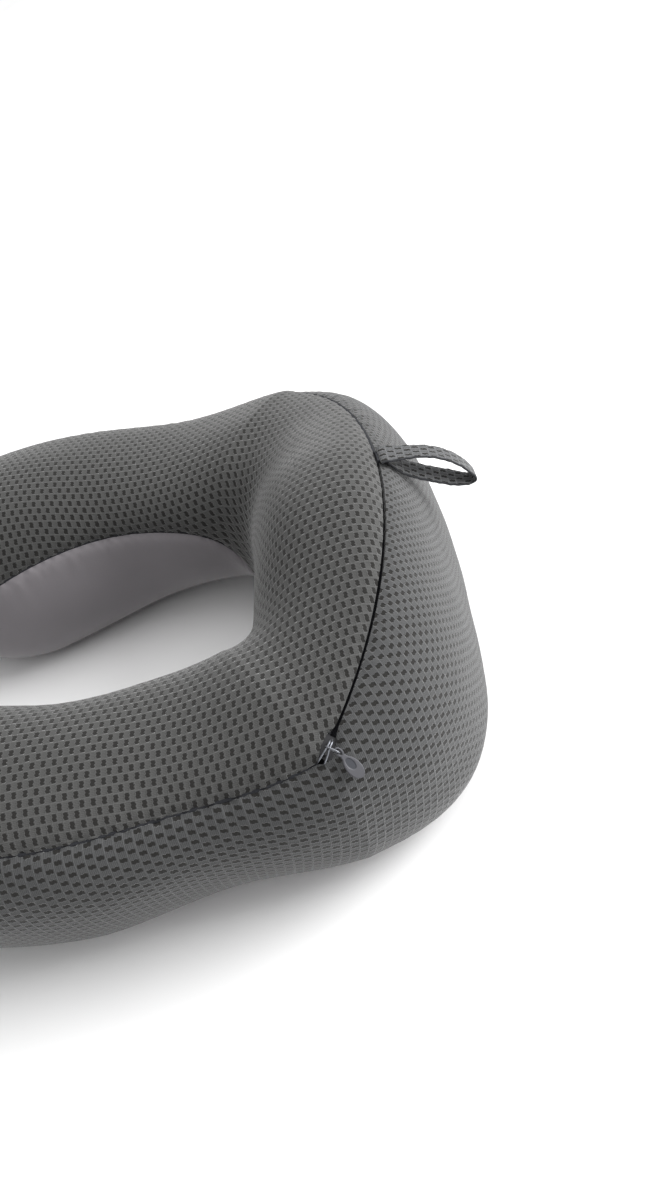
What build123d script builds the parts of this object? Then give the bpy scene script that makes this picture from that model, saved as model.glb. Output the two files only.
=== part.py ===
from build123d import *
import math
import os

os.makedirs("parts", exist_ok=True)

# ---------------------------------------------------------------- driving dimensions (mm, degrees)
# the pillow body: control values of uniform cubic B-splines in |t|, t = 0 at the nape, 1 at an arm tip
CX = [0.0, 43.3, 74.6, 93.65, 94.95, 102.3, 91.5, 77.4, 57.2]              # centre line X (odd in t)
CY = [106.3, 105.1, 93.5, 67.85, 27.7, -16.9, -60.65, -102.25, -133.8]     # centre line Y
CB = [0.0, 0.418, 0.795, 1.077, 1.382, 1.617, 1.860, 2.068, 2.184]         # heading of the section plane, rad (odd)
WO = [35.3, 40.6, 45.6, 38.45, 33.35, 38.7, 42.2, 43.0, 42.0]              # half width, outer side
WI = [49.3, 55.1, 57.8, 54.0, 46.95, 47.0, 48.6, 46.2, 42.1]               # half width, neck side
ZT = [112.0, 100.3, 91.7, 87.9, 82.05, 90.6, 99.6, 97.75, 90.5]            # top of the section
ZB = [-2.7, -3.35, -1.35, 3.45, 4.6, -1.6, -6.25, -2.6, 5.6]               # bottom before the floor flattens it
ZC = [12.5, 19.2, 33.05, 48.95, 56.4, 57.6, 56.35, 53.25, 48.3]            # height of the widest point
TL = [0.025, 0.063, 0.021, -0.166, -0.198, -0.194, -0.254, -0.162, -0.008] # lean of the section, rad
PT = [2.45, 2.445, 2.45, 2.44, 2.25, 2.155, 2.165, 2.2, 2.2]               # fullness of the top half
PB = [2.77, 2.59, 2.335, 2.065, 1.975, 2.095, 2.175, 2.2, 2.2]             # fullness of the bottom half
TI = [-0.286, -0.248, -0.196, -0.123, -0.026, 0.014, 0.034, 0.069, 0.098]  # angle of the inner seam
SO = [1.081, 0.711, -0.850, 0.098, -0.169, 0.279]                          # angle of the outer seam, polynomial
T_CORNER = 0.36            # where the zip meets the plain seam
A_LOWER = math.radians(-50)  # angle of the lower seam
TIP0, TIPN, TIPL = 0.80, 2.2, 57.0

# the zip lies on an exact arc, so its slider can travel by turning about the arc's centre
ARC_A0, ARC_BETA, ARC_QC, ARC_R = 33.44, math.radians(28.21), -35.22, 175.10
PSI = math.radians(34)     # lean of the slider in the arc's own frame
PHI_REST = 39.95           # slider centre, zip closed
PHI_OPEN = 0.2             # slider centre, zip open
PHI_TAPE0, PHI_TAPE1 = -7.0, 42.9
PHI_COIL0, PHI_COIL1 = -1.95, 41.42
PHI_LOOP = -4.6            # hang loop, just past the zip's closed end

MESH_T = 2.4               # spacer mesh
SOFT_T = 1.2               # stretch fabric
LINER_D, LINER_T = 2.8, 0.5
FOAM_D = 3.6
SEAM_GAP, ZIP_GAP = 1.0, 1.8
THREAD_R = 0.22
CH_Y, CH_TOP, CH_BOT = 4.7, -2.15, -6.4   # slider channel in the arc's cross-section
SLOT_Y = 1.0


# ---------------------------------------------------------------- curves
def bs(v, t, odd=False):
    n = len(v)
    sg = -1.0 if (odd and t < 0) else 1.0
    a = abs(t) * (n - 1)
    i = min(int(a), n - 2)
    f = a - i
    ext = [(-v[1] if odd else v[1])] + list(v) + [2 * v[-1] - v[-2]]
    p0, p1, p2, p3 = ext[i:i + 4]
    return sg * ((1 - f) ** 3 * p0 + (3 * f ** 3 - 6 * f * f + 4) * p1 + (-3 * f ** 3 + 3 * f * f + 3 * f + 1) * p2 + f ** 3 * p3) / 6


def arc_point(phi, y=0.0, z=0.0):
    """point on the zip arc, offset y towards the side panel and z outwards"""
    p = math.radians(phi)
    cb, sb = math.cos(ARC_BETA), math.sin(ARC_BETA)
    er = (math.sin(p), math.cos(p) * cb, math.cos(p) * sb)
    ea = (0, -sb, cb)
    cp, sp = math.cos(PSI), math.sin(PSI)
    ey = tuple(er[i] * sp - ea[i] * cp for i in range(3))
    en = tuple(er[i] * cp + ea[i] * sp for i in range(3))
    o = (ARC_R * math.sin(p), (ARC_QC + ARC_R * math.cos(p)) * cb, ARC_A0 + (ARC_QC + ARC_R * math.cos(p)) * sb)
    return tuple(o[i] + y * ey[i] + z * en[i] for i in range(3)), ey, en


def arc_tangent(phi):
    p = math.radians(phi)
    return (math.cos(p), -math.sin(p) * math.cos(ARC_BETA), -math.sin(p) * math.sin(ARC_BETA))


ARC_CENTRE = (0, ARC_QC * math.cos(ARC_BETA), ARC_A0 + ARC_QC * math.sin(ARC_BETA))
ARC_AXIS = Axis(ARC_CENTRE, (0, -math.sin(ARC_BETA), math.cos(ARC_BETA)))


def arc_plane(phi):
    """local x towards the side panel, local y outwards"""
    o, ey, en = arc_point(phi)
    return Plane(origin=o, x_dir=ey, z_dir=arc_tangent(phi))


def slider_plane(phi):
    """local x along the zip, local y towards the side panel, local z outwards"""
    o, ey, en = arc_point(phi)
    return Plane(origin=o, x_dir=arc_tangent(phi), z_dir=en)


def basis(t):
    b = bs(CB, t, True)
    return bs(CX, t, True), bs(CY, t), math.sin(b), math.cos(b)


def seam_poly(t):
    a = abs(t)
    q = min(a / T_CORNER, 1)
    s = max((a - T_CORNER) / (1 - T_CORNER), 0)
    return SO[0] + SO[1] * q ** 2 + SO[2] * q ** 4 + SO[3] * s + SO[4] * s * s + SO[5] * s ** 3


def arc_hit(t):
    """where the arc crosses the section plane: (n, z) in the plane and the arc angle"""
    X, Y, nx, ny = basis(t)
    lo, hi = -70.0, 70.0

    def g(phi):
        p = math.radians(phi)
        x = ARC_R * math.sin(p)
        y = (ARC_QC + ARC_R * math.cos(p)) * math.cos(ARC_BETA)
        return (x - X) * ny - (y - Y) * nx
    for _ in range(60):
        m = (lo + hi) / 2
        if g(m) > 0:
            hi = m
        else:
            lo = m
    p = math.radians(lo)
    x = ARC_R * math.sin(p)
    q = ARC_QC + ARC_R * math.cos(p)
    y = q * math.cos(ARC_BETA)
    z = ARC_A0 + q * math.sin(ARC_BETA)
    return (x - X) * nx + (y - Y) * ny, z, lo


def arc_fit(t):
    """scale of the section and seam angle that put the seam on the arc"""
    n, z, phi = arc_hit(t)
    tl, zc = bs(TL, t), bs(ZC, t)
    ht, wo, pt = bs(ZT, t) - zc, bs(WO, t), bs(PT, t)
    n1 = n * math.cos(tl) + (z - zc) * math.sin(tl)
    z1 = -n * math.sin(tl) + (z - zc) * math.cos(tl)
    k = ((n1 / wo) ** pt + (z1 / ht) ** pt) ** (1 / pt)
    th = math.atan2((z1 / ht / k) ** (pt / 2), (n1 / wo / k) ** (pt / 2))
    return k, th, phi


K_C, TH_C, PHI_C = arc_fit(T_CORNER)


def seam_state(t):
    a = abs(t)
    if a <= T_CORNER:
        k, th, phi = arc_fit(a)
        return k, th, (phi if t >= 0 else -phi)
    u = min((a - T_CORNER) / 0.15, 1)
    f = (1 - u) ** 2 * (1 + 2 * u)
    return 1 + (K_C - 1) * f, seam_poly(a) + (TH_C - seam_poly(T_CORNER)) * f, None


def point(t, th, d=0.0):
    """section point (n, z) at angle th, d below the skin"""
    k, _, _ = seam_state(t)
    zc = bs(ZC, t)
    ht, hb = (bs(ZT, t) - zc) * k, zc - bs(ZB, t)
    wo, wi = bs(WO, t) * k, bs(WI, t)
    u = max((abs(t) - TIP0) / (1 - TIP0), 0) * (1 + d / TIPL)
    r = math.sqrt(max(1 - u ** TIPN, 0.0025))
    c, s = math.cos(th), math.sin(th)
    e = 2 / (bs(PT, t) if s > 0 else bs(PB, t))
    n = ((wo - d) if c > 0 else (wi - d)) * math.copysign(abs(c) ** e, c) * r
    z = ((ht - d) if s > 0 else (hb - d)) * math.copysign(abs(s) ** e, s) * r
    tl = bs(TL, t)
    return n * math.cos(tl) - z * math.sin(tl), zc + n * math.sin(tl) + z * math.cos(tl)


def ang_step(t, th, mm, d=0.0):
    """angle that moves mm along the section"""
    a, b = point(t, th - 0.01, d), point(t, th + 0.01, d)
    return mm * 0.02 / max(math.dist(a, b), 0.05)


def section_plane(t):
    X, Y, nx, ny = basis(t)
    return Plane(origin=(X, Y, 0), x_dir=(nx, ny, 0), z_dir=(ny, -nx, 0))


def world(t, th, d=0.0):
    X, Y, nx, ny = basis(t)
    n, z = point(t, th, d)
    return (X + n * nx, Y + n * ny, z)


def zip_gap(t):
    """width of the gap between the top and side panels"""
    a = abs(t)
    if a > T_CORNER + 0.02:
        return SEAM_GAP
    if t < 0 and arc_fit(a)[2] > 9:
        return SEAM_GAP
    phi = arc_fit(min(a, T_CORNER))[2] * (1 if t >= 0 else -1)
    return ZIP_GAP + 3.6 * math.exp(-((phi - PHI_REST) / 2.1) ** 4)


HALF = [0.0, 0.06, 0.12, 0.17, 0.215, 0.26, 0.295, 0.322, 0.336, 0.348, 0.36, 0.385, 0.42, 0.47, 0.53, 0.59, 0.65, 0.71, 0.76, 0.80,
        0.835, 0.87, 0.90, 0.93, 0.953, 0.972, 0.985, 0.9935, 0.9985]


def stations(last=1.0):
    h = [t for t in HALF if t < last - 0.002] + ([last] if last < 1 else [])
    return [-t for t in reversed(h[1:])] + h


def band(t, a0, a1, d0, d1, n):
    """closed strip between two depths, from angle a0 to a1"""
    th = [a0 + (a1 - a0) * i / n for i in range(n + 1)]
    return [point(t, a, d0) for a in th], [point(t, a, d1) for a in reversed(th)]


def lay_band(t, a0, a1, d0, d1, n):
    up, dn = band(t, a0, a1, d0, d1, n)
    with BuildSketch(section_plane(t)) as sk:
        with BuildLine():
            Spline(*up)
            Line(up[-1], dn[0])
            Spline(*dn)
            Line(dn[-1], up[0])
        make_face()
    return sk.sketch.face()


def lay_ring(t, d):
    """whole section d below the skin"""
    up = [point(t, math.pi * i / 18, d) for i in range(19)]
    dn = [point(t, math.pi + math.pi * i / 18, d) for i in range(19)]
    dn[0], dn[-1] = up[-1], up[0]
    with BuildSketch(section_plane(t)) as sk:
        with BuildLine():
            Spline(*up)
            Spline(*dn)
        make_face()
    return sk.sketch.face()


def thread_faces(ts, th_of, d, r):
    """small hexagons square to the thread's own path"""
    pts = [world(t, th_of(t), d) for t in ts]
    faces = []
    for i, p in enumerate(pts):
        a, b = pts[max(i - 1, 0)], pts[min(i + 1, len(pts) - 1)]
        tg = tuple(b[j] - a[j] for j in range(3))
        xd = (-tg[1], tg[0], 0)
        with BuildSketch(Plane(origin=p, x_dir=xd, z_dir=tg)) as sk:
            RegularPolygon(r, 6)
        faces.append(sk.sketch.face())
    return faces


def profile(phi, rects):
    with BuildSketch(arc_plane(phi)) as sk:
        for y0, y1, z0, z1 in rects:
            with Locations(((y0 + y1) / 2, (z0 + z1) / 2)):
                Rectangle(y1 - y0, z1 - z0)
    return sk.sketch.faces()


FLOOR_BOX = (700, 700, 60)

# ---------------------------------------------------------------- cover
with BuildPart() as top_panel:
    secs = []
    for t in stations():
        k, th, phi = seam_state(t)
        a0 = th + ang_step(t, th, zip_gap(t) / 2)
        a1 = math.pi - bs(TI, t) - ang_step(t, math.pi - bs(TI, t), SEAM_GAP / 2)
        secs.append(lay_band(t, a0, a1, 0.0, MESH_T, 16))
    loft(secs, ruled=True)
    cut = profile(PHI_C + 0.5, [(-CH_Y, CH_Y, CH_BOT, CH_TOP), (-SLOT_Y, SLOT_Y, CH_TOP - 0.5, 3.5)])
    revolve(cut, axis=ARC_AXIS, revolution_arc=PHI_C + 0.5 - PHI_TAPE0 + 0.3, mode=Mode.SUBTRACT)
top_panel.part.label = "top_panel"

with BuildPart() as outer_side_panel:
    secs = []
    for t in stations():
        k, th, phi = seam_state(t)
        a1 = th - ang_step(t, th, zip_gap(t) / 2)
        a0 = A_LOWER + ang_step(t, A_LOWER, SEAM_GAP / 2)
        secs.append(lay_band(t, a0, a1, 0.0, MESH_T, 16))
    loft(secs, ruled=True)
    cut = profile(PHI_C + 0.5, [(-CH_Y, CH_Y, CH_BOT, CH_TOP), (-SLOT_Y, SLOT_Y, CH_TOP - 0.5, 3.5)])
    revolve(cut, axis=ARC_AXIS, revolution_arc=PHI_C + 0.5 - PHI_TAPE0 + 0.3, mode=Mode.SUBTRACT)
outer_side_panel.part.label = "outer_side_panel"

with BuildPart() as bottom_inside:
    secs = []
    for t in stations():
        secs.append(lay_ring(t, SOFT_T))
    loft(secs, ruled=True)
    with Locations((0, 0, SOFT_T - FLOOR_BOX[2] / 2)):
        Box(*FLOOR_BOX, mode=Mode.SUBTRACT)

with BuildPart() as bottom_panel:
    secs = []
    for t in stations():
        a0 = math.pi - bs(TI, t) + ang_step(t, math.pi - bs(TI, t), SEAM_GAP / 2)
        a1 = 2 * math.pi + A_LOWER - ang_step(t, A_LOWER, SEAM_GAP / 2)
        secs.append(lay_band(t, a0, a1, 0.0, 9.0, 20))
    loft(secs, ruled=True)
    with Locations((0, 0, -FLOOR_BOX[2] / 2)):
        Box(*FLOOR_BOX, mode=Mode.SUBTRACT)
    add(bottom_inside.part, mode=Mode.SUBTRACT)
bottom_panel.part.label = "bottom_panel"

# ---------------------------------------------------------------- seam threads
THREAD_T = [t for t in stations() if abs(t) < 0.955]


def inner_angle(t):
    return math.pi - bs(TI, t)


def outer_angle(t):
    return seam_state(t)[1]


with BuildPart() as outer_seam_thread_near:
    loft(thread_faces([t for t in THREAD_T if t > 0.38], outer_angle, 1.0, THREAD_R), ruled=True)
outer_seam_thread_near.part.label = "outer_seam_thread_near"

with BuildPart() as outer_seam_thread_far:
    loft(thread_faces([t for t in THREAD_T if t < -0.09][::-1], outer_angle, 1.0, THREAD_R), ruled=True)
outer_seam_thread_far.part.label = "outer_seam_thread_far"

with BuildPart() as inner_seam_thread:
    loft(thread_faces(THREAD_T, inner_angle, 0.75, THREAD_R), ruled=True)
inner_seam_thread.part.label = "inner_seam_thread"

with BuildPart() as lower_seam_thread:
    loft(thread_faces(THREAD_T, lambda t: A_LOWER, 0.75, THREAD_R), ruled=True)
lower_seam_thread.part.label = "lower_seam_thread"

# ---------------------------------------------------------------- liner and foam
U_OUT = (-5.6, 5.6, -7.6, 3.0)
U_IN = (-5.1, 5.1, -7.1, 3.5)


def last_station(d):
    return TIP0 + (1 - TIP0) * 0.985 / (1 + d / TIPL)


with BuildPart() as liner_void:
    secs = []
    for t in stations(last_station(LINER_D + LINER_T)):
        secs.append(lay_ring(t, LINER_D + LINER_T))
    loft(secs, ruled=True)
    with Locations((0, 0, 1.6 + LINER_T - FLOOR_BOX[2] / 2)):
        Box(*FLOOR_BOX, mode=Mode.SUBTRACT)
    cut = profile(PHI_C + 3.0, [(U_OUT[0] - 0.0, U_OUT[1] + 0.0, U_OUT[2] - 0.0, U_OUT[3] + 6)])
    revolve(cut, axis=ARC_AXIS, revolution_arc=PHI_C + 3.0 - PHI_TAPE0 + 2.0, mode=Mode.SUBTRACT)

with BuildPart() as inner_liner:
    secs = []
    for t in stations(last_station(LINER_D)):
        secs.append(lay_ring(t, LINER_D))
    loft(secs, ruled=True)
    with Locations((0, 0, 1.6 - FLOOR_BOX[2] / 2)):
        Box(*FLOOR_BOX, mode=Mode.SUBTRACT)
    cut = profile(PHI_C + 2.85, [(U_IN[0], U_IN[1], U_IN[2], U_IN[3] + 6)])
    revolve(cut, axis=ARC_AXIS, revolution_arc=PHI_C + 2.85 - PHI_TAPE0 + 1.85, mode=Mode.SUBTRACT)
    add(liner_void.part, mode=Mode.SUBTRACT)
inner_liner.part.label = "inner_liner"

with BuildPart() as foam_core:
    secs = []
    for t in stations(last_station(FOAM_D)):
        secs.append(lay_ring(t, FOAM_D))
    loft(secs, ruled=True)
    with Locations((0, 0, 1.6 + LINER_T + 0.3 - FLOOR_BOX[2] / 2)):
        Box(*FLOOR_BOX, mode=Mode.SUBTRACT)
    cut = profile(PHI_C + 3.2, [(U_OUT[0] - 0.3, U_OUT[1] + 0.3, U_OUT[2] - 0.3, U_OUT[3] + 6)])
    revolve(cut, axis=ARC_AXIS, revolution_arc=PHI_C + 3.2 - PHI_TAPE0 + 2.2, mode=Mode.SUBTRACT)
foam_core.part.label = "foam_core"

# ---------------------------------------------------------------- zip
with BuildPart() as zip_tape_upper:
    cut = profile(PHI_TAPE1, [(-4.6, -0.75, -5.1, -4.6)])
    revolve(cut, axis=ARC_AXIS, revolution_arc=PHI_TAPE1 - PHI_TAPE0)
zip_tape_upper.part.label = "zip_tape_upper"

with BuildPart() as zip_tape_lower:
    cut = profile(PHI_TAPE1, [(0.75, 4.6, -5.1, -4.6)])
    revolve(cut, axis=ARC_AXIS, revolution_arc=PHI_TAPE1 - PHI_TAPE0)
zip_tape_lower.part.label = "zip_tape_lower"


def coil_outline(y):
    """eight-sided outline of one coil, about the size of a size 5 coil"""
    return [(y - 0.75, -4.2), (y - 0.42, -4.54), (y + 0.42, -4.54), (y + 0.75, -4.2), (y + 0.75, -3.76), (y + 0.42, -3.42), (y - 0.42, -3.42), (y - 0.75, -3.76)]


with BuildPart() as zip_coil_upper:
    with BuildSketch(arc_plane(PHI_COIL1)):
        with BuildLine():
            Polyline(coil_outline(-1.52), close=True)
        make_face()
    revolve(axis=ARC_AXIS, revolution_arc=PHI_COIL1 - PHI_COIL0)
zip_coil_upper.part.label = "zip_coil_upper"

with BuildPart() as zip_coil_lower:
    with BuildSketch(arc_plane(PHI_COIL1)):
        with BuildLine():
            Polyline(coil_outline(1.52), close=True)
        make_face()
    revolve(axis=ARC_AXIS, revolution_arc=PHI_COIL1 - PHI_COIL0)
zip_coil_lower.part.label = "zip_coil_lower"

with BuildPart() as zip_bottom_stop:
    cut = profile(-2.0, [(-2.6, 2.6, -4.55, -3.2)])
    revolve(cut, axis=ARC_AXIS, revolution_arc=1.0)
zip_bottom_stop.part.label = "zip_bottom_stop"

with BuildPart() as zip_top_stop_upper:
    cut = profile(42.15, [(-2.5, -0.75, -4.55, -3.2)])
    revolve(cut, axis=ARC_AXIS, revolution_arc=0.6)
zip_top_stop_upper.part.label = "zip_top_stop_upper"

with BuildPart() as zip_top_stop_lower:
    cut = profile(42.15, [(0.75, 2.5, -4.55, -3.2)])
    revolve(cut, axis=ARC_AXIS, revolution_arc=0.6)
zip_top_stop_lower.part.label = "zip_top_stop_lower"

# ---------------------------------------------------------------- slider (local frame: x along the zip, z outwards)
SL = slider_plane(PHI_REST)
PLATE = [(-4.7, -1.9), (-4.0, -2.5), (-0.6, -2.7), (2.0, -3.3), (3.8, -3.3), (4.4, -2.6), (3.9, -0.9), (3.4, 0), (3.9, 0.9), (4.4, 2.6),
         (3.8, 3.3), (2.0, 3.3), (-0.6, 2.7), (-4.0, 2.5), (-4.7, 1.9)]
CROWN_Z, CROWN_X0, CROWN_X1 = 2.3, -2.6, 2.2
WIRE = 0.4
o, ey, en = arc_point(PHI_REST)
tg = arc_tangent(PHI_REST)

with BuildPart() as slider_body:
    with BuildSketch(SL.offset(-3.1)):
        with BuildLine():
            Polyline(PLATE, close=True)
        make_face()
    extrude(amount=0.7)
    with BuildSketch(SL.offset(-6.1)):
        with BuildLine():
            Polyline(PLATE, close=True)
        make_face()
    extrude(amount=0.7)
    with BuildSketch(SL.offset(-5.45)):
        with Locations((2.4, 0)):
            Ellipse(0.95, 0.44)
    extrude(amount=2.4)
    with BuildSketch(SL.offset(-4.3)):
        with BuildLine():
            Polyline([(2.0, 2.68), (2.0, 3.25), (3.7, 3.25), (3.7, 2.68)], close=True)
        make_face()
        with BuildLine():
            Polyline([(2.0, -2.68), (2.0, -3.25), (3.7, -3.25), (3.7, -2.68)], close=True)
        make_face()
    extrude(amount=1.25)
    # crown: two legs and the bar the bail hangs on
    with BuildSketch(Plane(origin=tuple(o[i] + WIRE * ey[i] for i in range(3)), x_dir=tg, z_dir=tuple(-v for v in ey))):
        with BuildLine():
            Polyline([(CROWN_X0 - WIRE, -2.6), (CROWN_X0 - WIRE, CROWN_Z + WIRE), (CROWN_X1 + WIRE, CROWN_Z + WIRE), (CROWN_X1 + WIRE, -2.6),
                      (CROWN_X1 - WIRE, -2.6), (CROWN_X1 - WIRE, CROWN_Z - WIRE), (CROWN_X0 + WIRE, CROWN_Z - WIRE), (CROWN_X0 + WIRE, -2.6)], close=True)
        make_face()
    extrude(amount=2 * WIRE)
slider_body.part.label = "slider_body"

# pull bail: flat wire link round the crown bar, standing across the zip
BAIL_L, BAIL_RI, BAIL_RO = 3.0, 0.72, 1.52
bail_o = tuple(o[i] + CROWN_Z * en[i] - 0.4 * tg[i] for i in range(3))
with BuildPart() as pull_bail:
    with BuildSketch(Plane(origin=bail_o, x_dir=ey, z_dir=tg)):
        with Locations((BAIL_L / 2, 0)):
            SlotOverall(BAIL_L + 2 * BAIL_RO, 2 * BAIL_RO)
            SlotOverall(BAIL_L + 2 * BAIL_RI, 2 * BAIL_RI, mode=Mode.SUBTRACT)
    extrude(amount=0.8)
pull_bail.part.label = "pull_bail"

# pull tab: flat blade with an eye round the bail's outer end
TAB_TILT = math.radians(-6)
TAB_YAW = math.radians(20)   # it hangs a little towards the corner
TAB_T = 0.8
EYE_Y = BAIL_L + (BAIL_RI + BAIL_RO) / 2 + 0.22
ct, st_ = math.cos(TAB_TILT), math.sin(TAB_TILT)
ty = tuple(ey[i] * ct + en[i] * st_ for i in range(3))
tn = tuple(-ey[i] * st_ + en[i] * ct for i in range(3))
tab_o = tuple(o[i] + EYE_Y * ey[i] + CROWN_Z * en[i] for i in range(3))
TAB_X = tuple(tg[i] * math.cos(TAB_YAW) - ty[i] * math.sin(TAB_YAW) for i in range(3))
TAB = Plane(origin=tab_o, x_dir=TAB_X, z_dir=tn)
TAB_HALF = [(1.35, 0.0), (1.2, 1.4), (1.3, 2.3), (1.9, 4.0), (2.45, 6.0), (2.7, 8.2), (2.45, 10.6), (1.55, 12.4)]
with BuildPart() as pull_tab:
    with BuildSketch(TAB.offset(-TAB_T / 2)):
        with BuildLine():
            l1 = Spline(*TAB_HALF)
            l2 = ThreePointArc(TAB_HALF[-1], (0, 13.1), (-TAB_HALF[-1][0], TAB_HALF[-1][1]))
            l3 = Spline(*[(-x, y) for x, y in reversed(TAB_HALF)])
            l4 = ThreePointArc((-1.35, 0.0), (0, -1.35), (1.35, 0.0))
        make_face()
        with Locations((0, 0)):
            SlotCenterPoint((0, 0), (0, 0.15), 1.5, mode=Mode.SUBTRACT)
    extrude(amount=TAB_T)
    with BuildSketch(TAB.offset(TAB_T / 2 - 0.16)):
        with Locations((0, 5.4)):
            Ellipse(1.3, 2.1)
    extrude(amount=0.3, mode=Mode.SUBTRACT)
pull_tab.part.label = "pull_tab"

# ---------------------------------------------------------------- hang loop
LOOP_W, LOOP_T = 7.0, 1.5
lo_o = arc_point(PHI_LOOP, 1.9, 0.0)[0]
lp = math.radians(PHI_LOOP)
LOOP_OUT = (math.sin(lp), math.cos(lp), 0)
LOOP_TAN = (math.cos(lp), -math.sin(lp), 0)
LOOP_PLANE = Plane(origin=lo_o, x_dir=LOOP_OUT, z_dir=LOOP_TAN)     # local x outwards, local y up
LOOP_ROOT = (1.35, 0.42)
LOOP_PATH = [(1.95, 0.95), (4.4, 0.15), (7.6, -0.7), (13.6, -2.3), (19.5, -4.8), (25.1, -8.7), (29.7, -13.4), (33.0, -18.4), (34.6, -21.8),
             (34.4, -23.9), (31.6, -24.0), (26.9, -22.4), (20.6, -19.1), (14.9, -15.5), (9.4, -11.7), (5.7, -7.3), (3.0, -3.3), (0.85, -0.15)]


def side(path, d):
    out = []
    for i, (x, y) in enumerate(path):
        x0, y0 = path[max(i - 1, 0)]
        x1, y1 = path[min(i + 1, len(path) - 1)]
        l = math.hypot(x1 - x0, y1 - y0)
        out.append((x - d * (y1 - y0) / l, y + d * (x1 - x0) / l))
    return out


LOOP_OUTER = side(LOOP_PATH, LOOP_T / 2)
LOOP_INNER = side(LOOP_PATH, -LOOP_T / 2)
LOOP_INNER[9:10] = []
LOOP_INNER[8] = (33.2, -21.9)
LOOP_INNER[9] = (31.6, -23.1)
with BuildPart() as hang_loop:
    with BuildSketch(LOOP_PLANE.offset(-LOOP_W / 2)):
        with BuildLine():
            Spline(*LOOP_OUTER)
            Line(LOOP_OUTER[-1], LOOP_INNER[-1])
            Spline(*reversed(LOOP_INNER))
            Line(LOOP_INNER[0], LOOP_OUTER[0])
        make_face()
        with Locations(Location((LOOP_ROOT[0], LOOP_ROOT[1], 0), (0, 0, -50))):
            Rectangle(1.9, 3.1)
    extrude(amount=LOOP_W)
hang_loop.part.label = "hang_loop"

with BuildPart() as loop_tail:
    cut = profile(PHI_LOOP + 1.1, [(-0.55, 0.55, -2.6, 0.55)])
    revolve(cut, axis=ARC_AXIS, revolution_arc=2.2)
loop_tail.part.label = "loop_tail"

ALL = [top_panel, outer_side_panel, bottom_panel, outer_seam_thread_near, outer_seam_thread_far, inner_seam_thread, lower_seam_thread, inner_liner, foam_core,
       zip_tape_upper, zip_tape_lower, zip_coil_upper, zip_coil_lower, zip_bottom_stop, zip_top_stop_upper, zip_top_stop_lower,
       slider_body, pull_bail, pull_tab, hang_loop, loop_tail]
SHIFT = Location((0, -10.29, 0))      # brings the middle of the whole footprint to the origin
for item in ALL:
    placed = item.part.moved(SHIFT)
    placed.label = item.part.label
    export_step(placed, "parts/%s.step" % item.part.label)
    bb = placed.bounding_box()
    print("%-24s vol %10.1f solids %d  x %.1f..%.1f y %.1f..%.1f z %.1f..%.1f" % (item.part.label, item.part.volume, len(item.part.solids()),
          bb.min.X, bb.max.X, bb.min.Y, bb.max.Y, bb.min.Z, bb.max.Z))
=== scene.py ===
import bpy
import math
import numpy as np
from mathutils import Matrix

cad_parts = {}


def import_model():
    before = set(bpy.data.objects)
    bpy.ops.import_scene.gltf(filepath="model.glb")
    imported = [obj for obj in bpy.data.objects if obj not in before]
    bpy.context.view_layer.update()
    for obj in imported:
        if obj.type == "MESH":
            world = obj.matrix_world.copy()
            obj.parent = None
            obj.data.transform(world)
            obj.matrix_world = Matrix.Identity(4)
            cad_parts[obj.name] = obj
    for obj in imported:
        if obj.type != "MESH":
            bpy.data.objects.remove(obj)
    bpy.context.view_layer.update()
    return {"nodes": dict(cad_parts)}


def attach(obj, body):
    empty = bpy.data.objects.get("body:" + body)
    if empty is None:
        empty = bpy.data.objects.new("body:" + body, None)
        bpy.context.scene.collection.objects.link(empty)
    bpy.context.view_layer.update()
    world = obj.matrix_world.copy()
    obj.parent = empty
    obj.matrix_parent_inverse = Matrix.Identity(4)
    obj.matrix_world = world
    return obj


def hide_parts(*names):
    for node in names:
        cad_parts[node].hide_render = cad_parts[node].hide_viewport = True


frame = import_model()

# ------------------------------------------------------------------ the pillow's own curves, as in the CAD (mm)
CX = [0.0, 43.3, 74.6, 93.65, 94.95, 102.3, 91.5, 77.4, 57.2]
CY = [106.3, 105.1, 93.5, 67.85, 27.7, -16.9, -60.65, -102.25, -133.8]
CB = [0.0, 0.418, 0.795, 1.077, 1.382, 1.617, 1.860, 2.068, 2.184]
WO = [35.3, 40.6, 45.6, 38.45, 33.35, 38.7, 42.2, 43.0, 42.0]
WI = [49.3, 55.1, 57.8, 54.0, 46.95, 47.0, 48.6, 46.2, 42.1]
ZT = [112.0, 100.3, 91.7, 87.9, 82.05, 90.6, 99.6, 97.75, 90.5]
ZB = [-2.7, -3.35, -1.35, 3.45, 4.6, -1.6, -6.25, -2.6, 5.6]
ZC = [12.5, 19.2, 33.05, 48.95, 56.4, 57.6, 56.35, 53.25, 48.3]
TL = [0.025, 0.063, 0.021, -0.166, -0.198, -0.194, -0.254, -0.162, -0.008]
PT = [2.45, 2.445, 2.45, 2.44, 2.25, 2.155, 2.165, 2.2, 2.2]
PB = [2.77, 2.59, 2.335, 2.065, 1.975, 2.095, 2.175, 2.2, 2.2]
TI = [-0.286, -0.248, -0.196, -0.123, -0.026, 0.014, 0.034, 0.069, 0.098]
SO = [1.081, 0.711, -0.850, 0.098, -0.169, 0.279]
T_CORNER = 0.36
A_LOWER = math.radians(-50)
TIP0, TIPN, TIPL = 0.80, 2.2, 57.0
ARC_A0, ARC_BETA, ARC_QC, ARC_R = 33.44, math.radians(28.21), -35.22, 175.10
PSI = math.radians(34)
PHI_REST = 39.95
PHI_LOOP = -4.6
SHIFT_Y = -10.29
MM = 0.001


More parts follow.
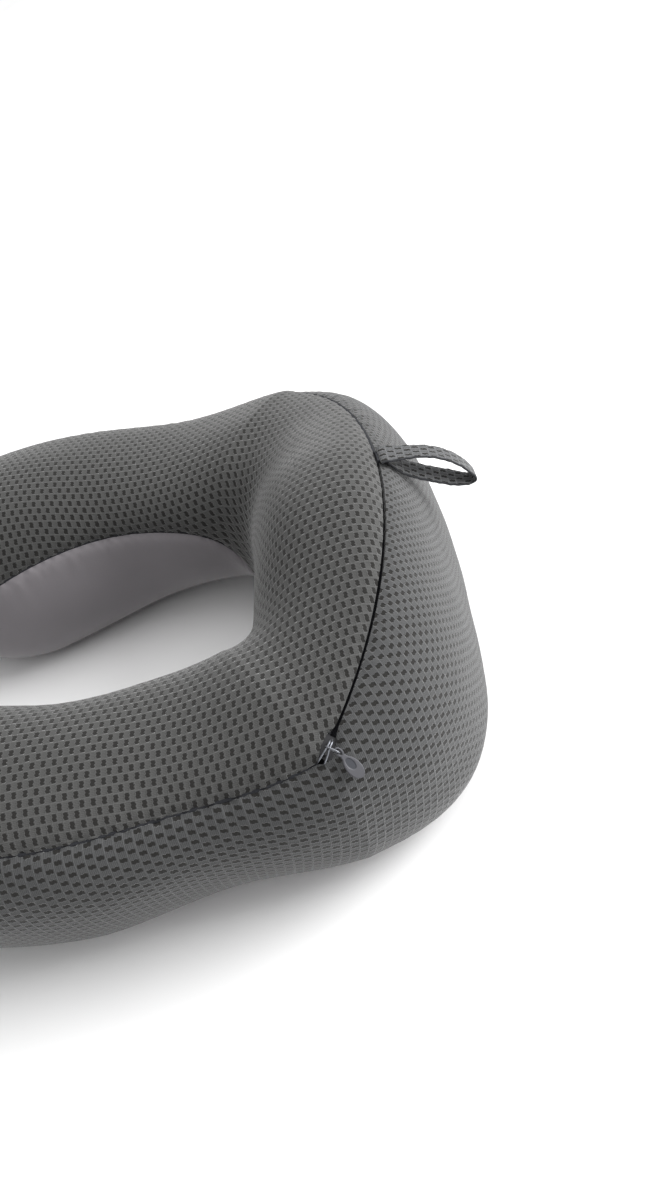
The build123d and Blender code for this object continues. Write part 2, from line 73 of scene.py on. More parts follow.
def bs(v, t, odd=False):
    v = np.asarray(v, float)
    t = np.asarray(t, float)
    n = len(v)
    sg = np.where(t < 0, -1.0, 1.0) if odd else 1.0
    a = np.abs(t) * (n - 1)
    i = np.clip(a.astype(int), 0, n - 2)
    f = a - i
    ext = np.concatenate([[-v[1] if odd else v[1]], v, [2 * v[-1] - v[-2]]])
    p0, p1, p2, p3 = ext[i], ext[i + 1], ext[i + 2], ext[i + 3]
    return sg * ((1 - f) ** 3 * p0 + (3 * f ** 3 - 6 * f * f + 4) * p1 + (-3 * f ** 3 + 3 * f * f + 3 * f + 1) * p2 + f ** 3 * p3) / 6


def arc_frame(phi):
    p = math.radians(phi)
    cb, sb = math.cos(ARC_BETA), math.sin(ARC_BETA)
    er = np.array([math.sin(p), math.cos(p) * cb, math.cos(p) * sb])
    ea = np.array([0, -sb, cb])
    ey = er * math.sin(PSI) - ea * math.cos(PSI)
    en = er * math.cos(PSI) + ea * math.sin(PSI)
    tg = np.array([math.cos(p), -math.sin(p) * cb, -math.sin(p) * sb])
    q = ARC_QC + ARC_R * math.cos(p)
    o = np.array([ARC_R * math.sin(p), q * cb, ARC_A0 + q * sb])
    return o, ey, en, tg


def seam_poly(a):
    q = np.minimum(a / T_CORNER, 1)
    s = np.maximum((a - T_CORNER) / (1 - T_CORNER), 0)
    return SO[0] + SO[1] * q ** 2 + SO[2] * q ** 4 + SO[3] * s + SO[4] * s * s + SO[5] * s ** 3


def arc_fit(t):
    t = np.asarray(t, float)
    X, Y, b = bs(CX, t, True), bs(CY, t), bs(CB, t, True)
    nx, ny = np.sin(b), np.cos(b)
    lo, hi = np.full_like(t, -70.0), np.full_like(t, 70.0)
    for _ in range(50):
        m = (lo + hi) / 2
        p = np.radians(m)
        x = ARC_R * np.sin(p)
        y = (ARC_QC + ARC_R * np.cos(p)) * math.cos(ARC_BETA)
        g = (x - X) * ny - (y - Y) * nx
        hi = np.where(g > 0, m, hi)
        lo = np.where(g > 0, lo, m)
    p = np.radians(lo)
    x = ARC_R * np.sin(p)
    q = ARC_QC + ARC_R * np.cos(p)
    y, z = q * math.cos(ARC_BETA), ARC_A0 + q * math.sin(ARC_BETA)
    n = (x - X) * nx + (y - Y) * ny
    tl, zc = bs(TL, t), bs(ZC, t)
    ht, wo, pt = bs(ZT, t) - zc, bs(WO, t), bs(PT, t)
    n1 = n * np.cos(tl) + (z - zc) * np.sin(tl)
    z1 = -n * np.sin(tl) + (z - zc) * np.cos(tl)
    k = ((n1 / wo) ** pt + (z1 / ht) ** pt) ** (1 / pt)
    th = np.arctan2((z1 / ht / k) ** (pt / 2), (n1 / wo / k) ** (pt / 2))
    return k, th, lo


# dense stations: even along the arms, closing smoothly on the tips
NB = 330
body_t = np.linspace(0, TIP0, NB)
r_tip = np.cos(np.linspace(0, math.pi / 2, 100))[1:]
tip_t = TIP0 + (1 - TIP0) * (1 - np.maximum(r_tip, 0.004) ** 2) ** (1 / TIPN)
half = np.concatenate([body_t, tip_t])
T = np.concatenate([-half[::-1], half[1:]])
AT = np.abs(T)
bX, bY, bB = bs(CX, T, True), bs(CY, T), bs(CB, T, True)
NXv, NYv = np.sin(bB), np.cos(bB)
kc, thc, phic = (float(v) for v in (a[0] for a in arc_fit(np.array([T_CORNER]))))
ka, tha, phia = arc_fit(np.minimum(AT, T_CORNER))
uu = np.clip((AT - T_CORNER) / 0.15, 0, 1)
fade = (1 - uu) ** 2 * (1 + 2 * uu)
K = np.where(AT <= T_CORNER, ka, 1 + (kc - 1) * fade)
THO = np.where(AT <= T_CORNER, tha, seam_poly(AT) + (thc - float(seam_poly(np.array([T_CORNER]))[0])) * fade)
PHI = np.where(AT <= T_CORNER, phia, phic + (AT - T_CORNER) * 150) * np.where(T < 0, -1, 1)
THI = math.pi - bs(TI, T)
sZC, sZT, sZB = bs(ZC, T), bs(ZT, T), bs(ZB, T)
sWO, sWI, sTL, sPT, sPB = bs(WO, T) * K, bs(WI, T), bs(TL, T), bs(PT, T), bs(PB, T)
sHT, sHB = (sZT - sZC) * K, sZC - sZB
sU = np.clip((AT - TIP0) / (1 - TIP0), 0, None)
sR = np.sqrt(np.clip(1 - sU ** TIPN, 1e-7, 1))


def section(th, d=0.0):
    """(n, z) for an array th (stations x angles), d below the skin"""
    th = np.asarray(th, float)
    c, s = np.cos(th), np.sin(th)
    e = np.where(s > 0, (2 / sPT)[:, None], (2 / sPB)[:, None])
    r = sR[:, None]
    dd = d * (0.25 + 0.75 * r)
    n = np.where(c > 0, sWO[:, None] * r - dd, sWI[:, None] * r - dd)
    z = np.where(s > 0, sHT[:, None] * r - dd, sHB[:, None] * r - dd)
    n = np.maximum(n, 0.02) * np.sign(c) * np.abs(c) ** e
    z = np.maximum(z, 0.02) * np.sign(s) * np.abs(s) ** e
    ct, st = np.cos(sTL)[:, None], np.sin(sTL)[:, None]
    return n * ct - z * st, sZC[:, None] + n * st + z * ct


def world(n, z):
    return np.stack([bX[:, None] + n * NXv[:, None], bY[:, None] + n * NYv[:, None] + SHIFT_Y, z], -1)


def noise3(p, scale, seed=0, n=7):
    """smooth deterministic noise: a few crossed waves, about -1 to 1"""
    rng = np.random.default_rng(seed)
    out = np.zeros(p.shape[:-1])
    for i in range(n):
        k = rng.normal(size=3)
        k /= np.linalg.norm(k)
        out += np.sin((p @ k) * (2 * math.pi / scale) * rng.uniform(0.7, 1.4) + rng.uniform(0, 6.28))
    return out / (n * 0.6)


def wave1(s, scale, seed=0):
    rng = np.random.default_rng(seed)
    out = 0
    for i in range(4):
        out = out + np.sin(s * 2 * math.pi / scale * rng.uniform(0.75, 1.3) + rng.uniform(0, 6.28))
    return out / 2.4


# the distance along each seam, for puckers and fabric coordinates
def path_len(th, d=0.0):
    n, z = section(th[:, None], d)
    p = world(n, z)[:, 0]
    s = np.concatenate([[0], np.cumsum(np.linalg.norm(np.diff(p, axis=0), axis=1))])
    return s - s[len(s) // 2]


S_OUT, S_IN, S_LOW = path_len(THO), path_len(THI), path_len(np.full_like(T, A_LOWER))
S_SIDE = path_len((THO + A_LOWER) / 2)


def rows(nmid, edge=(0, .25, .55, .9, 1.4, 2.0, 2.8, 3.8, 5.2, 7.0)):
    return np.array(edge, float), nmid


def panel_grid(a0, a1, nmid=46, edge=(0.0, 0.3, 0.65, 1.05, 1.5, 2.1, 2.9, 3.9, 5.2, 7.0)):
    """angles (stations x rows) and the distance of each row from both edges, spaced in mm along the section"""
    fine = np.linspace(0, 1, 161)
    th = a0[:, None] + (a1 - a0)[:, None] * fine[None]
    n, z = section(th)
    seg = np.hypot(np.diff(n, axis=1), np.diff(z, axis=1))
    s = np.concatenate([np.zeros((len(T), 1)), np.cumsum(seg, 1)], 1)
    L = s[:, -1]
    edge = np.array(edge)
    e = edge[None] * np.minimum(1, L / 30)[:, None]
    mid = np.linspace(0, 1, nmid + 2)[1:-1]
    lo, hi = e[:, -1], L - e[:, -1]
    S = np.concatenate([e, lo[:, None] + (hi - lo)[:, None] * mid[None], L[:, None] - e[:, ::-1]], 1)
    TH = np.stack([np.interp(S[i], s[i], th[i]) for i in range(len(T))])
    return TH, S, L[:, None] - S, L


def grid_faces(nr, nc):
    i = np.arange(nr - 1)[:, None] * nc + np.arange(nc - 1)[None]
    return np.stack([i, i + 1, i + nc + 1, i + nc], -1).reshape(-1, 4)


def make_mesh(name, verts, faces, uv=None, smooth=True):
    me = bpy.data.meshes.new(name)
    verts = np.asarray(verts, float).reshape(-1, 3) * MM
    me.from_pydata(verts.tolist(), [], np.asarray(faces).tolist() if not isinstance(faces, list) else faces)
    if uv is not None:
        lay = me.uv_layers.new(name="fab")
        li = np.zeros(len(me.loops), int)
        me.loops.foreach_get("vertex_index", li)
        lay.data.foreach_set("uv", np.asarray(uv, float).reshape(-1, 2)[li].astype(np.float32).ravel())
    if smooth:
        me.polygons.foreach_set("use_smooth", np.ones(len(me.polygons), bool))
    me.update()
    ob = bpy.data.objects.new(name, me)
    bpy.context.scene.collection.objects.link(ob)
    return ob


# ------------------------------------------------------------------ materials
class NT:
    def __init__(self, name):
        self.mat = bpy.data.materials.new(name)
        self.mat.use_nodes = True
        self.nt = self.mat.node_tree
        self.bsdf = next(n for n in self.nt.nodes if n.type == "BSDF_PRINCIPLED")

    def put(self, sock, v):
        if isinstance(v, (int, float)):
            sock.default_value = v
        elif isinstance(v, (tuple, list)):
            sock.default_value = tuple(v) if len(v) != 3 else (*v, 1.0) if len(sock.default_value) == 4 else tuple(v)
        else:
            self.nt.links.new(v, sock)

    def m(self, op, a, b=0.0, c=None):
        n = self.nt.nodes.new("ShaderNodeMath")
        n.operation = op
        self.put(n.inputs[0], a)
        self.put(n.inputs[1], b)
        if c is not None:
            self.put(n.inputs[2], c)
        return n.outputs[0]

    def uv(self, name="fab"):
        n = self.nt.nodes.new("ShaderNodeUVMap")
        n.uv_map = name
        s = self.nt.nodes.new("ShaderNodeSeparateXYZ")
        self.nt.links.new(n.outputs[0], s.inputs[0])
        return s.outputs[0], s.outputs[1], n.outputs[0]

    def obj(self):
        n = self.nt.nodes.new("ShaderNodeTexCoord")
        return n.outputs["Object"]

    def xyz(self, vec):
        s = self.nt.nodes.new("ShaderNodeSeparateXYZ")
        self.nt.links.new(vec, s.inputs[0])
        return s.outputs

    def combine(self, x, y, z=0.0):
        n = self.nt.nodes.new("ShaderNodeCombineXYZ")
        for i, v in enumerate((x, y, z)):
            self.put(n.inputs[i], v)
        return n.outputs[0]

    def noise(self, vec, scale, detail=3.0, rough=0.5):
        n = self.nt.nodes.new("ShaderNodeTexNoise")
        self.nt.links.new(vec, n.inputs["Vector"])
        n.inputs["Scale"].default_value = scale
        n.inputs["Detail"].default_value = detail
        n.inputs["Roughness"].default_value = rough
        return n.outputs[0]

    def ramp(self, v, a, b, smooth=True):
        n = self.nt.nodes.new("ShaderNodeMapRange")
        n.interpolation_type = "SMOOTHSTEP" if smooth else "LINEAR"
        self.put(n.inputs["Value"], v)
        n.inputs["From Min"].default_value = a
        n.inputs["From Max"].default_value = b
        return n.outputs[0]

    def mix(self, f, a, b):
        n = self.nt.nodes.new("ShaderNodeMix")
        n.data_type = "RGBA"
        self.put(n.inputs[0], f)
        self.put(n.inputs[6], a)
        self.put(n.inputs[7], b)
        return n.outputs[2]

    def scale_col(self, col, f):
        n = self.nt.nodes.new("ShaderNodeMix")
        n.data_type = "RGBA"
        n.blend_type = "MULTIPLY"
        n.inputs[0].default_value = 1.0
        self.put(n.inputs[6], col)
        c = self.nt.nodes.new("ShaderNodeCombineColor")
        for i in range(3):
            self.put(c.inputs[i], f)
        self.nt.links.new(c.outputs[0], n.inputs[7])
        return n.outputs[2]

    def bump(self, h, dist, strength=1.0, normal=None):
        n = self.nt.nodes.new("ShaderNodeBump")
        n.inputs["Strength"].default_value = strength
        n.inputs["Distance"].default_value = dist
        self.nt.links.new(h, n.inputs["Height"])
        if normal is not None:
            self.nt.links.new(normal, n.inputs["Normal"])
        return n.outputs[0]

    def done(self, color=None, rough=0.8, normal=None, metallic=0.0, sheen=0.0, sheen_rough=0.5, spec=0.5, coat=0.0):
        b = self.bsdf.inputs
        if color is not None:
            self.put(b["Base Color"], color)
        self.put(b["Roughness"], rough)
        b["Metallic"].default_value = metallic
        b["Sheen Weight"].default_value = sheen
        b["Sheen Roughness"].default_value = sheen_rough
        b["Specular IOR Level"].default_value = spec
        b["Coat Weight"].default_value = coat
        if normal is not None:
            self.nt.links.new(normal, b["Normal"])
        return self.mat


def spacer_mesh(name, pu, pv, knit, hole, tint=(1.0, 1.0, 1.0), hole_w=0.215, hole_l=0.405, lines=1.0, uoff=0.0):
    """knitted spacer mesh. u is across the holes' rows, v along the holes; both in mm in the fabric's own coordinates"""
    g = NT(name)
    u, v, vec = g.uv()
    big = g.noise(g.combine(g.m("MULTIPLY", u, 0.012), g.m("MULTIPLY", v, 0.012)), 1.0, 3.0)
    wob = g.noise(g.combine(g.m("MULTIPLY", u, 0.35), g.m("MULTIPLY", v, 0.35)), 1.0, 1.0)
    uw = g.m("ADD", u, g.m("MULTIPLY", g.m("SUBTRACT", wob, 0.5), 0.45))
    vr = g.m("DIVIDE", v, pv)
    row = g.m("FLOOR", vr)
    fv = g.m("SUBTRACT", g.m("SUBTRACT", vr, row), 0.5)
    par = g.m("MULTIPLY", g.m("FLOORED_MODULO", row, 2.0), 0.5)
    ur = g.m("ADD", g.m("ADD", g.m("DIVIDE", uw, pu), par), uoff)
    fu = g.m("SUBTRACT", g.m("FRACT", ur), 0.5)
    # stepped sides: the hole's edges follow the stitches
    step = g.m("SINE", g.m("MULTIPLY", fv, 2 * math.pi * 2.5))
    fus = g.m("ADD", fu, g.m("MULTIPLY", step, 0.035))
    au, av = g.m("ABSOLUTE", fus), g.m("ABSOLUTE", fv)
    du, dv = g.m("DIVIDE", au, hole_w), g.m("DIVIDE", av, hole_l)
    d = g.m("POWER", g.m("ADD", g.m("POWER", du, 5.0), g.m("POWER", dv, 5.0)), 0.2)
    inside = g.m("SUBTRACT", 1.0, g.ramp(d, 0.80, 1.08))
    rim = g.m("SUBTRACT", 1.0, g.ramp(g.m("ABSOLUTE", g.m("SUBTRACT", d, 1.22)), 0.0, 0.42))
    # stitch ribs across the hole's length, and one raised strand along each row whose lighter tone is a painted
    # highlight
    ribs = g.m("ADD", g.m("MULTIPLY", g.m("SINE", g.m("MULTIPLY", v, 2 * math.pi / 0.62)), 0.5), 0.5)
    yarn_and_highlight = g.m("SUBTRACT", 1.0, g.ramp(g.m("ABSOLUTE", g.m("SUBTRACT", g.m("ABSOLUTE", fv), 0.5)), 0.02, 0.10))
    fuzz = g.noise(g.combine(g.m("MULTIPLY", u, 3.1), g.m("MULTIPLY", v, 3.1)), 1.0, 2.0, 0.6)
    tone = g.m("ADD", 0.70, g.m("MULTIPLY", ribs, 0.34 * lines))
    # painted highlight: the strand along each row is lifted in tone
    tone = g.m("ADD", tone, g.m("MULTIPLY", yarn_and_highlight, 0.22 * lines))
    tone = g.m("ADD", tone, g.m("MULTIPLY", rim, 0.10))
    tone = g.m("MULTIPLY", tone, g.m("ADD", 0.78, g.m("MULTIPLY", fuzz, 0.44)))
    tone = g.m("MULTIPLY", tone, g.m("ADD", 0.86, g.m("MULTIPLY", big, 0.28)))
    col = g.scale_col(tuple(k * t for k, t in zip(knit, tint)), tone)
    # the holes have no depth in the mesh: their dark colour is painted shade of the recess
    hole_shade_col = g.scale_col(hole, g.m("ADD", 0.6, g.m("MULTIPLY", fuzz, 0.8)))
    col = g.mix(inside, col, hole_shade_col)
    h = g.m("SUBTRACT", g.m("ADD", g.m("MULTIPLY", rim, 0.35), g.m("MULTIPLY", ribs, 0.16)), g.m("MULTIPLY", inside, 1.0))
    h = g.m("ADD", h, g.m("MULTIPLY", yarn_and_highlight, 0.16))
    nrm = g.bump(h, 0.00038, 0.8)
    return g.done(col, 0.88, nrm, sheen=0.30, sheen_rough=0.42, spec=0.25)


def smooth_knit(name, col):
    g = NT(name)
    u, v, vec = g.uv()
    big = g.noise(g.combine(g.m("MULTIPLY", u, 0.02), g.m("MULTIPLY", v, 0.02)), 1.0, 3.0)
    a = g.m("SINE", g.m("MULTIPLY", u, 2 * math.pi / 0.42))
    b = g.m("SINE", g.m("MULTIPLY", v, 2 * math.pi / 0.36))
    knit = g.m("ADD", 0.5, g.m("MULTIPLY", g.m("MULTIPLY", a, b), 0.5))
    fuzz = g.noise(g.combine(g.m("MULTIPLY", u, 1.6), g.m("MULTIPLY", v, 1.6)), 1.0, 4.0, 0.65)
    tone = g.m("ADD", 0.84, g.m("MULTIPLY", big, 0.20))
    tone = g.m("MULTIPLY", tone, g.m("ADD", 0.90, g.m("MULTIPLY", fuzz, 0.20)))
    tone = g.m("MULTIPLY", tone, g.m("ADD", 0.95, g.m("MULTIPLY", knit, 0.08)))
    h = g.m("ADD", g.m("MULTIPLY", knit, 0.5), g.m("MULTIPLY", fuzz, 0.6))
    return g.done(g.scale_col(col, tone), 0.78, g.bump(h, 0.00008, 0.8), sheen=0.45, sheen_rough=0.35, spec=0.3)


def simple(name, col, rough=0.6, metallic=0.0, bump=0.00004, scale=900.0, var=0.25, sheen=0.0, spec=0.5, coat=0.0):
    g = NT(name)
    o = g.obj()
    n = g.noise(o, scale, 4.0, 0.6)
    f = g.noise(o, scale * 0.12, 2.0)
    tone = g.m("ADD", 1 - var / 2, g.m("MULTIPLY", n, var * 0.6))
    tone = g.m("MULTIPLY", tone, g.m("ADD", 0.9, g.m("MULTIPLY", f, 0.2)))
    r = g.m("ADD", rough - 0.06, g.m("MULTIPLY", n, 0.14))
    return g.done(g.scale_col(col, tone), r, g.bump(n, bump, 0.6), metallic=metallic, sheen=sheen, spec=spec, coat=coat)


def striped(name, col, period, rough=0.5):
    """coil turns: ribs along the zip's own arc"""
    g = NT(name)
    x, y, z = g.xyz(g.obj())
    c = (0, ARC_QC * math.cos(ARC_BETA) + SHIFT_Y, ARC_A0 + ARC_QC * math.sin(ARC_BETA))
    py = g.m("ADD", g.m("MULTIPLY", g.m("SUBTRACT", y, c[1] * MM), math.cos(ARC_BETA)), g.m("MULTIPLY", g.m("SUBTRACT", z, c[2] * MM), math.sin(ARC_BETA)))
    ang = g.m("ARCTAN2", x, py)
    w = g.m("SINE", g.m("MULTIPLY", ang, 2 * math.pi * ARC_R / period))
    w = g.m("ADD", 0.5, g.m("MULTIPLY", w, 0.5))
    return g.done(g.scale_col(col, g.m("ADD", 0.4, w)), rough, g.bump(w, 0.0004, 1.0))


KNIT = (0.070, 0.070, 0.0685)
# the dark colour painted into the mesh's holes is painted shade of their depth
HOLE_SHADE = (0.0120, 0.0115, 0.0105)
M_TOP = spacer_mesh("mesh_top", 3.75, 3.45, KNIT, HOLE_SHADE, lines=0.65)
# the side panel is the top's knit made darker and bluer: painted shade on the side panel
M_SIDE_SHADED = spacer_mesh("mesh_side", 3.75, 3.45, (0.064, 0.065, 0.066), HOLE_SHADE, lines=0.8)
# the loop's knit is made lighter to offset the shadow the upper strand casts on the lower one: painted light
M_LOOP_LIT = spacer_mesh("mesh_loop_lit", 3.3, 3.45, (0.094, 0.096, 0.099), HOLE_SHADE, hole_w=0.2, uoff=0.25)
M_SOFT = smooth_knit("stretch_fabric", (0.205, 0.192, 0.203))
# near black: partly dark thread, mostly painted shade of the seam grooves; also laid on the zip slot sheet and the
# loop's tail
M_DARK = simple("seam_thread_and_shade", (0.012, 0.013, 0.017), 0.9, var=0.6, scale=1500)
M_EDGE = simple("loop_edge_thread", (0.020, 0.021, 0.024), 0.85, var=0.6, scale=2500)
M_TAPE = simple("zip_tape", (0.012, 0.012, 0.015), 0.85, var=0.5, scale=1800)
M_COIL = striped("zip_coil", (0.02, 0.02, 0.024), 0.9)
M_STOP = simple("zip_stop", (0.03, 0.03, 0.034), 0.4)
M_SLIDER = simple("slider_metal", (0.007, 0.007, 0.009), 0.55, metallic=0.2, var=0.3, scale=700)
# light bare-metal colour on the crown's raised edges against the near-black body: painted highlight along the edges
M_RAIL_HIGHLIGHT = simple("crown_metal_highlight", (0.26, 0.27, 0.30), 0.42, metallic=1.0, var=0.3, scale=700)
M_BAIL = simple("bail_wire", (0.17, 0.175, 0.19), 0.36, metallic=1.0, var=0.2, scale=700)
M_TAB = simple("tab_enamel", (0.056, 0.056, 0.064), 0.5, metallic=0.1, var=0.12, scale=500)
M_TABIN = simple("tab_recess", (0.024, 0.026, 0.034), 0.5, metallic=0.1, var=0.15, scale=500)
M_LINER = simple("liner_fabric", (0.7, 0.7, 0.69), 0.9, var=0.1)
M_FOAM = simple("memory_foam", (0.8, 0.77, 0.68), 0.95, bump=0.0003, scale=400, var=0.15)

# ------------------------------------------------------------------ panels
EDGE = (0.0, 0.3, 0.65, 1.05, 1.5, 2.1, 2.9, 3.9, 5.2, 7.0)


def edge_angle(th, mm):
    """angle that moves mm along the section from the seam at th"""
    n0, z0 = section((th - 0.004)[:, None])
    n1, z1 = section((th + 0.004)[:, None])
    ds = np.hypot(n1 - n0, z1 - z0)[:, 0]
    return mm * 0.008 / np.maximum(ds, 0.004)


# how wide the outer seam stands open: a closed zip, wider where the slider sits, narrow on the plain seam
on_zip = (PHI > -2.6) & (PHI < phic)
slider_near = np.exp(-(np.abs(PHI - PHI_REST + 0.25) / 1.9) ** 3.2)
gap = np.where(T > T_CORNER, 0.55, 1.35)
gap = np.where(PHI < -2.6, 1.75 - 0.95 * np.clip((-PHI - 14) / 24, 0, 1), gap)
gap = np.where(T < -T_CORNER, 0.6, gap)
gap = gap + np.where((PHI >= -2.6) & (PHI < phic), 0.35 * np.exp(-(np.maximum(PHI, 0) / 14.0) ** 2), 0.0)
loop_near = np.exp(-((PHI - PHI_LOOP) / 1.6) ** 4)
gap = gap + 0.35 * np.exp(-((PHI + 7.5) / 3.0) ** 2)
gap_top = gap / 2 + 1.9 * slider_near * (PHI < phic + 1.2)
gap_side = gap / 2 + 2.2 * slider_near * (PHI < phic + 1.2)
plain = 1 / (1 + np.exp(-(AT - T_CORNER - 0.012) / 0.006))


def dress(a0, a1, nmid, e0, e1, s0, s1, name, mat, uvfun, lump, seed, groove0, groove1, floor=False):
    """a sewn panel: crowned, rolled under at both seams, with puckers along them"""
    TH, D0, D1, L = panel_grid(a0, a1, nmid, EDGE)
    n, z = section(TH)
    base = world(n, z)
    rr = sR[:, None] ** 0.5

    def roll(D, g, s, sd):
        pk = 0.5 + 0.5 * np.sin(2 * math.pi * s / 4.7 + 1.1 * wave1(s, 23, sd))
        pk2 = wave1(s, 11, sd + 5)
        depth = g[:, None] * (1 + (0.42 * (pk - 0.5) + 0.22 * pk2)[:, None] * plainish[:, None])
        return depth * np.exp(-(D / (2.1 + 0.9 * (1 - pk)[:, None])) ** 1.5)
    plainish = 0.45 + 0.55 * plain
    d = roll(D0, groove0, s0, seed) + roll(D1, groove1, s1, seed + 1)
    # slow lumps in the foam, fading out towards the seams
    w = np.minimum(D0, D1) / np.maximum(L[:, None], 1)
    d = d - lump * (noise3(base, 74, seed + 2) * 0.6 + noise3(base, 33, seed + 3) * 0.28) * np.clip(w * 5, 0, 1) * rr
    # short tension creases square to the seams
    d = d + 0.16 * wave1(s0, 8.5, seed + 7)[:, None] * np.exp(-D0 / 8) + 0.16 * wave1(s1, 8.5, seed + 8)[:, None] * np.exp(-D1 / 8)
    d = d * rr
    n, z = section(TH, d)
    # an extra row at each edge turned down into the seam
    P = world(n, z)
    first, last = world(*section(TH[:, :1], 3.1 * rr)), world(*section(TH[:, -1:], 3.1 * rr))
    P = np.concatenate([first, P, last], 1)
    if floor:
        zz = P[..., 2]
        P[..., 2] = np.where(zz < 2.0, np.maximum(0.02, 0.02 + 0.5 * (zz + 2.0) ** 2 / 4.0 * (zz > -2.0)), zz)
    THx = np.concatenate([TH[:, :1], TH, TH[:, -1:]], 1)
    D0x = np.concatenate([D0[:, :1] - 1.5, D0, D0[:, -1:] + 1.5], 1)
    UV = uvfun(THx, D0x, L)
    ob = make_mesh(name, P, grid_faces(P.shape[0], P.shape[1]), UV)
    ob.data.materials.append(mat)
    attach(ob, "pillow")
    return ob


def uv_top(TH, D0, L):
    """flat-cut panel: the section is rolled out flat on each side of the crest"""
    fine = np.linspace(0.2, math.pi + 0.4, 241)
    n, z = section(np.repeat(fine[None], len(T), 0))
    seg = np.hypot(np.diff(n, axis=1), np.diff(z, axis=1))
    s = np.concatenate([np.zeros((len(T), 1)), np.cumsum(seg, 1)], 1)
    mid = np.array([np.interp(math.pi / 2, fine, s[i]) for i in range(len(T))])
    S = np.stack([np.interp(TH[i], fine, s[i]) - mid[i] for i in range(len(T))])
    X = bX[:, None] - S * NXv[:, None]
    Y = bY[:, None] - S * NYv[:, None]
    return np.stack([Y, X], -1)


# the side strip is cut flat: its grain follows the line of the section's widest points
S_MID = path_len(np.zeros_like(T))
_pm = world(*section(np.zeros((len(T), 1))))[:, 0]
_sl = np.gradient(_pm[:, 2], S_MID)
_ker = np.hanning(31)
SLOPE = np.convolve(np.pad(_sl, 15, mode="edge"), _ker / _ker.sum(), "valid")


def uv_side(TH, D0, L):
    a = (np.arcsin(np.clip(SLOPE, -0.5, 0.5)) * np.clip((0.95 - AT) / 0.2, 0, 1))[:, None]
    fine = np.linspace(A_LOWER - 0.2, 1.9, 241)
    n, z = section(np.repeat(fine[None], len(T), 0))
    seg = np.hypot(np.diff(n, axis=1), np.diff(z, axis=1))
    s = np.concatenate([np.zeros((len(T), 1)), np.cumsum(seg, 1)], 1)
    mid = np.array([np.interp(0.0, fine, s[i]) for i in range(len(T))])
    w = np.stack([np.interp(TH[i], fine, s[i]) - mid[i] for i in range(len(T))])
    return np.stack([w * np.cos(a), S_MID[:, None] + w * np.sin(a)], -1)


def uv_soft(TH, D0, L):
    return np.stack([D0, np.repeat(S_IN[:, None], TH.shape[1], 1)], -1)


one = np.ones_like(T)
g_zip = 0.95 + 0.75 * plain + 1.1 * slider_near
g_plain = 1.5 * one
scal = (0.30 * np.abs(np.sin(math.pi * S_OUT / 3.6 + 0.5 * wave1(S_OUT, 17, 5))) + 0.12 * wave1(S_OUT, 9, 6)) * (0.25 + 0.75 * plain)
gap_top = np.maximum(gap_top - 0.1 + scal * 0.6, 0.12)
gap_side = np.maximum(gap_side - 0.15 + scal, 0.12)
top = dress(THO + edge_angle(THO, gap_top), THI - edge_angle(THI, 0.28 * one), 44, 0, 0, S_OUT, S_IN, "top_panel_soft", M_TOP, uv_top, 0.75, 11, g_zip, g_plain)
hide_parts("top_panel")

LOW = np.full_like(T, A_LOWER)
side = dress(LOW + edge_angle(LOW, 0.28 * one), THO - edge_angle(THO, gap_side), 44, 0, 0, S_LOW, S_OUT, "outer_side_panel_soft", M_SIDE_SHADED, uv_side, 0.8, 31, g_plain, g_zip)
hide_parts("outer_side_panel")

soft = dress(THI + edge_angle(THI, 0.28 * one), 2 * math.pi + LOW - edge_angle(LOW, 0.28 * one), 56, 0, 0, S_IN, S_LOW, "bottom_panel_soft", M_SOFT, uv_soft, 0.9, 51, 1.2 * one, 1.3 * one, floor=True)
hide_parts("bottom_panel")


# ------------------------------------------------------------------ seams: a cord of gathered fabric and thread down in each groove; its near-black colour is partly dark thread, mostly painted shade of the groove
def seam_cord(name, th, s, depth, half_w, sel, nodes, mat=M_DARK, seed=3):
    idx = np.where(sel)[0]
    k = 8
    P = []
    for j in range(k):
        a = 2 * math.pi * j / k
        w = half_w * (1 + 0.18 * np.sin(2 * math.pi * s / 2.3 + j) * 0.6)
        n, z = section((th + edge_angle(th, 1.0 * one) * w * math.cos(a))[:, None], ((depth - 0.55 * w * math.sin(a)) * sR ** 0.5)[:, None])
        P.append(world(n, z)[idx, 0])
    P = np.stack(P, 1)
    i = np.arange(len(idx) - 1)[:, None] * k + np.arange(k)[None]
    i2 = np.arange(len(idx) - 1)[:, None] * k + (np.arange(k)[None] + 1) % k
    F = np.stack([i, i2, i2 + k, i + k], -1).reshape(-1, 4).tolist()
    F += [list(range(k))[::-1], [len(P.reshape(-1, 3)) - k + j for j in range(k)]]
    ob = make_mesh(name, P, F)
    ob.data.materials.append(mat)
    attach(ob, "pillow")
    if nodes:
        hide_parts(*nodes)
    return ob


inside_tip = AT < 0.9985
seam_cord("outer_seam_near", THO, S_OUT, 2.1, 0.75, inside_tip & (T > T_CORNER + 0.004), ["outer_seam_thread_near"])
seam_cord("outer_seam_far", THO, S_OUT, 1.35, 0.95, inside_tip & (PHI < -5.9), ["outer_seam_thread_far"])
seam_cord("inner_seam", THI, S_IN, 1.75, 0.6, inside_tip, ["inner_seam_thread"])
seam_cord("lower_seam", LOW, S_LOW, 1.75, 0.6, inside_tip, ["lower_seam_thread"])

# dark sheet under the zip's slot, so that the pale core never shows through it; its colour is painted shade of the slot
zs = (PHI > -3.4) & (PHI < phic + 0.9)
idx = np.where(zs)[0]
TT = THO[idx]
P = []
for w, dd in ((-4.9, 2.5), (-3.9, 3.6), (-2.9, 5.4), (2.9, 5.4), (3.9, 3.6), (4.9, 2.5)):
    n, z = section((THO + edge_angle(THO, w * one))[:, None], dd * np.ones((len(T), 1)))
    P.append(world(n, z)[idx, 0])
P = np.stack(P, 1)
slot_shade_sheet = make_mesh("zip_slot_shade_sheet", P, grid_faces(P.shape[0], P.shape[1]))
slot_shade_sheet.data.materials.append(M_DARK)
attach(slot_shade_sheet, "pillow")

